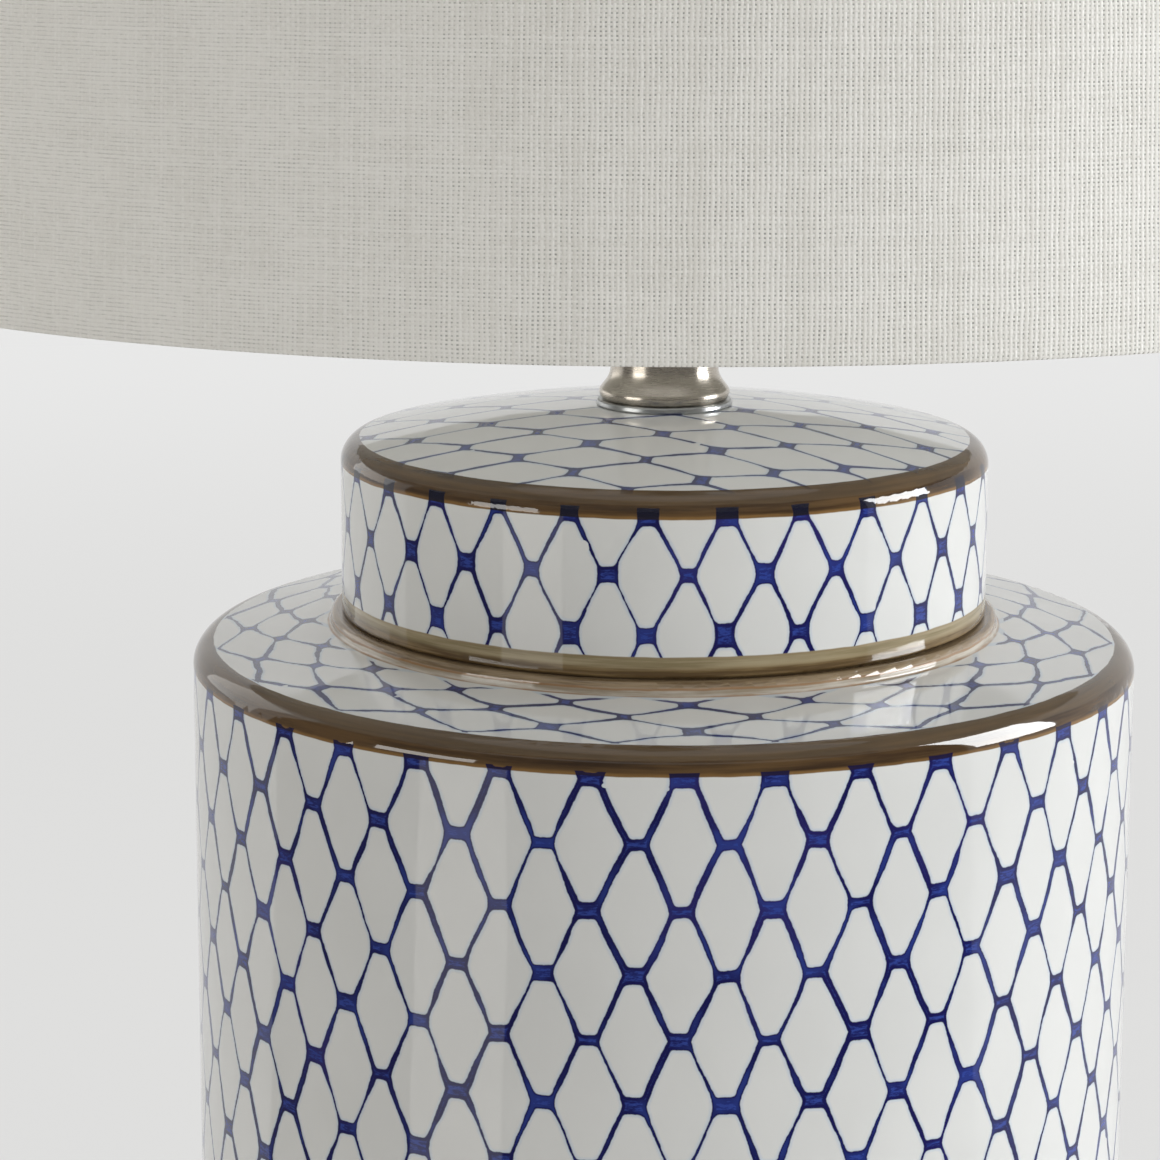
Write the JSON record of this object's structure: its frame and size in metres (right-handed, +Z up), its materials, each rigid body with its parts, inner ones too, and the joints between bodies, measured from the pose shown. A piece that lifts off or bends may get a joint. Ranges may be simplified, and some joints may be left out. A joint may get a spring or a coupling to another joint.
{
  "type": "table lamp",
  "caption": "Table lamp on a round two-tier ceramic jar with a painted trellis, brushed metal neck, rotary lamp holder, wire harp and linen drum shade.",
  "frame": {"origin": "on the lamp's axis, on the surface that the felt pads stand on", "axes": "+Z up along the lamp's axis; -Y towards the user, where the switch knob points; +Y to the rear, where the cord bush is"},
  "size_m": [0.405, 0.4048, 0.6585],
  "materials": {
    "glazed_jar": "white glaze with a painted blue trellis and brown rims",
    "glazed_lid": "white glaze with a painted blue trellis and brown rims",
    "felt": "grey felt",
    "bush_plastic": "off-white moulded plastic",
    "zinc_steel": "zinc plated steel",
    "polished_disc": "polished",
    "brushed_nickel": "brushed nickel plate",
    "harp_metal": "nickel plated wire",
    "holder_metal": "nickel plated sheet",
    "insulating_card": "dark insulating card",
    "moulded_core": "moulded phenolic",
    "brass_contacts": "plain brass",
    "knob_plastic": "black moulded plastic",
    "bulb_metal": "plain aluminium",
    "bulb_insulator": "black glass with a solder contact",
    "frosted_glass": "frosted",
    "linen": "off-white coarse linen weave",
    "liner_plastic": "white laminated liner",
    "white_wire": "white coated wire"
  },
  "bodies": {
    "base": {"jar_body": "glazed_jar", "jar_inlet": "glazed_jar", "jar_floor": "glazed_jar", "jar_lid": "glazed_lid", "felt_pads": "felt", "cord_bush": "bush_plastic", "threaded_tube": "zinc_steel", "base_washer": "zinc_steel", "base_lock_washer": "zinc_steel", "base_nut": "zinc_steel", "seat_disc": "polished_disc", "neck_tube": "brushed_nickel", "harp_saddle": "harp_metal", "saddle_nut": "zinc_steel", "socket_cap": "holder_metal", "cap_screw": "zinc_steel", "socket_shell": "holder_metal", "socket_liner": "insulating_card", "socket_core": "moulded_core", "terminal_screws": "brass_contacts", "screw_shell": "brass_contacts", "centre_contact": "brass_contacts"},
    "knob": {"switch_shaft": "brass_contacts", "turn_knob": "knob_plastic"},
    "bulb": {"bulb_cap": "bulb_metal", "bulb_tip": "bulb_insulator", "bulb_glass": "frosted_glass"},
    "harp": {"harp_bow": "harp_metal"},
    "sleeve_right": {"harp_sleeve_right": "harp_metal"},
    "sleeve_left": {"harp_sleeve_left": "harp_metal"},
    "stud": {"harp_stud": "harp_metal"},
    "shade": {"shade_fabric": "linen", "shade_liner": "liner_plastic", "shade_top_ring": "white_wire", "shade_bottom_ring": "white_wire", "spider_fitter": "white_wire"},
    "finial": {"finial": "brushed_nickel"}
  },
  "joints": [
    {"name": "knob_turn", "type": "hinge", "parent": "base", "child": "knob", "pos_m": [0, -0.02, 0.41649], "axis": [0, -1, 0], "continuous": true},
    {"name": "bulb_unscrew", "type": "slide", "parent": "base", "child": "bulb", "axis": [0, 0, 1], "range_m": [0, 0.022]},
    {"name": "harp_lift", "type": "slide", "parent": "base", "child": "harp", "axis": [0, 0, 1], "range_m": [0, 0.03]},
    {"name": "sleeve_right_lift", "type": "slide", "parent": "harp", "child": "sleeve_right", "axis": [0, 0, 1], "range_m": [0, 0.014]},
    {"name": "sleeve_left_lift", "type": "slide", "parent": "harp", "child": "sleeve_left", "axis": [0, 0, 1], "range_m": [0, 0.014]},
    {"name": "shade_turn", "type": "hinge", "parent": "harp", "child": "stud", "pos_m": [0, 0, 0.629], "axis": [0, 0, 1], "continuous": true},
    {"name": "shade_lift", "type": "slide", "parent": "stud", "child": "shade", "axis": [0, 0, 1], "range_m": [0, 0.29]},
    {"name": "finial_lift", "type": "slide", "parent": "stud", "child": "finial", "axis": [0, 0, 1], "range_m": [0, 0.34]}
  ],
  "couplings": [
    {"joint": "finial_lift", "follows": "shade_lift", "ratio": 1.15}
  ]
}
